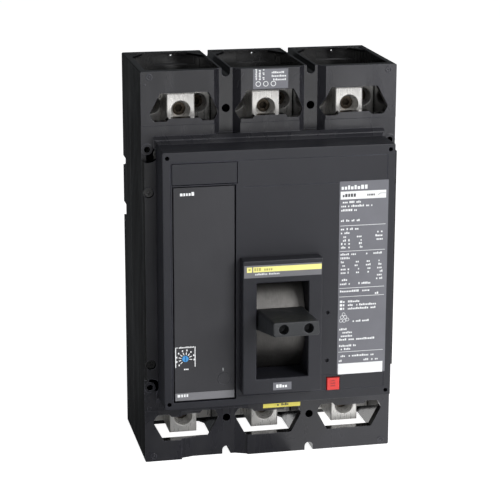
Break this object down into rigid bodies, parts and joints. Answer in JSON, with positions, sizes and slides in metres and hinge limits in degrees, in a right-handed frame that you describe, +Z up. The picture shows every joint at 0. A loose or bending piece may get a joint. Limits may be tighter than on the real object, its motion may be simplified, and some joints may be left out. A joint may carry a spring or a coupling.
{
  "type": "molded case circuit breaker",
  "caption": "Moulded case circuit breaker with wire wells and lugs at both ends, a toggle handle in a raised escutcheon, a trip unit, a red trip button and a screwed-on front cover.",
  "frame": {"origin": "centre of the rear mounting face", "axes": "+X right as seen from the front, +Z up towards the line end, the front faces -Y"},
  "size_m": [0.21, 0.1995, 0.328],
  "materials": {
    "base_moulding": "moulded thermoset, glossy near-black",
    "case_moulding": "moulded thermoset, semi-gloss dark grey",
    "cover_moulding": "fine matt texture, charcoal",
    "trip_moulding": "fine matt texture, charcoal",
    "handle_moulding": "satin, near-black",
    "slider_metal": "brushed",
    "label_stock": "printed polyester, satin",
    "band_label": "printed polyester with a yellow band",
    "strip_label": "printed polyester, yellow",
    "lens": "clear",
    "dial_moulding": "blue",
    "button_moulding": "red",
    "circuit_board": "solder mask",
    "crossbar_moulding": "moulded thermoset",
    "contact_silver": "silver alloy",
    "brass_inserts": "turned",
    "copper": "bare copper",
    "lug_aluminium": "tin-plated, satin",
    "set_screw_steel": "dark plated",
    "steel": "zinc plated",
    "potted_coils": "potting resin"
  },
  "bodies": {
    "root": {"accessory_cover": "cover_moulding", "arc_chute_1": "steel", "arc_chute_2": "steel", "arc_chute_3": "steel", "base_case": "base_moulding", "blank_panel": "cover_moulding", "button_spring": "steel", "case_inserts": "brass_inserts", "case_screws": "steel", "cover_screws": "steel", "current_transformers": "potted_coils", "escutcheon_label": "band_label", "fixed_contacts": "contact_silver", "flexible_shunts": "copper", "front_case": "case_moulding", "handle_escutcheon": "cover_moulding", "line_binding_screws": "set_screw_steel", "line_lug_1": "lug_aluminium", "line_lug_2": "lug_aluminium", "line_lug_3": "lug_aluminium", "line_strap_1": "copper", "line_strap_2": "copper", "line_strap_3": "copper", "load_binding_screws": "set_screw_steel", "load_lug_1": "lug_aluminium", "load_lug_2": "lug_aluminium", "load_lug_3": "lug_aluminium", "load_strap_1": "copper", "load_strap_2": "copper", "load_strap_3": "copper", "lower_strip_label": "strip_label", "lug_fixing_screws": "steel", "mechanism_pins": "steel", "mechanism_plates": "steel", "nameplate": "label_stock", "pole_label": "label_stock", "rating_plate": "label_stock", "status_lens": "lens", "trip_actuator": "potted_coils", "trip_brackets": "crossbar_moulding", "trip_circuit_board": "circuit_board", "trip_rating_label": "label_stock", "trip_unit_face": "trip_moulding", "trip_unit_housing": "trip_moulding", "well_supports": "base_moulding"},
    "handle": {"handle": "handle_moulding", "handle_slider": "slider_metal", "handle_yoke": "steel", "main_springs": "steel"},
    "crossbar": {"crossbar": "crossbar_moulding", "crossbar_levers": "steel", "contact_arm_1": "copper", "contact_arm_2": "copper", "contact_arm_3": "copper", "moving_contacts": "contact_silver"},
    "toggle": {"toggle_links": "steel"},
    "cradle": {"cradle": "steel"},
    "trip_dial": {"trip_dial": "dial_moulding"},
    "trip_button": {"trip_button": "button_moulding"},
    "trip_bar": {"trip_bar": "crossbar_moulding"}
  },
  "joints": [
    {"name": "handle_hinge", "type": "hinge", "parent": "root", "child": "handle", "pos_m": [0, -0.095, -0.0404], "axis": [-1, 0, 0], "range_deg": [-36.6, 19.4], "deforming": ["main_springs"]},
    {"name": "crossbar_hinge", "type": "hinge", "parent": "root", "child": "crossbar", "pos_m": [0, -0.05, -0.025], "axis": [-1, 0, 0], "range_deg": [-19.8, 10.6]},
    {"name": "toggle_hinge", "type": "hinge", "parent": "crossbar", "child": "toggle", "pos_m": [0, -0.06, -0.00768], "axis": [-1, 0, 0], "range_deg": [-10.6, 19.8]},
    {"name": "cradle_hinge", "type": "hinge", "parent": "root", "child": "cradle", "pos_m": [0, -0.08, -0.068], "axis": [-1, 0, 0], "range_deg": [-5.6, 3]},
    {"name": "trip_dial_turn", "type": "hinge", "parent": "root", "child": "trip_dial", "pos_m": [-0.0771, -0.139, -0.0634], "axis": [0, -1, 0], "range_deg": [-135, 135]},
    {"name": "trip_button_press", "type": "slide", "parent": "root", "child": "trip_button", "axis": [0, 1, 0], "range_m": [0, 0.0025], "stiffness_N_per_m": 300, "springref_m": -0.003, "deforming": ["button_spring"]},
    {"name": "trip_bar_hinge", "type": "hinge", "parent": "root", "child": "trip_bar", "pos_m": [0.0125, -0.1155, -0.0985], "axis": [-1, 0, 0], "range_deg": [0, 24.1]}
  ],
  "couplings": [
    {"joint": "crossbar_hinge", "follows": "handle_hinge", "ratio": 0.53571},
    {"joint": "toggle_hinge", "follows": "handle_hinge", "ratio": -0.53571},
    {"joint": "cradle_hinge", "follows": "handle_hinge", "ratio": 0.15},
    {"joint": "trip_bar_hinge", "follows": "trip_button_press", "rad_per_m": 167.6}
  ]
}
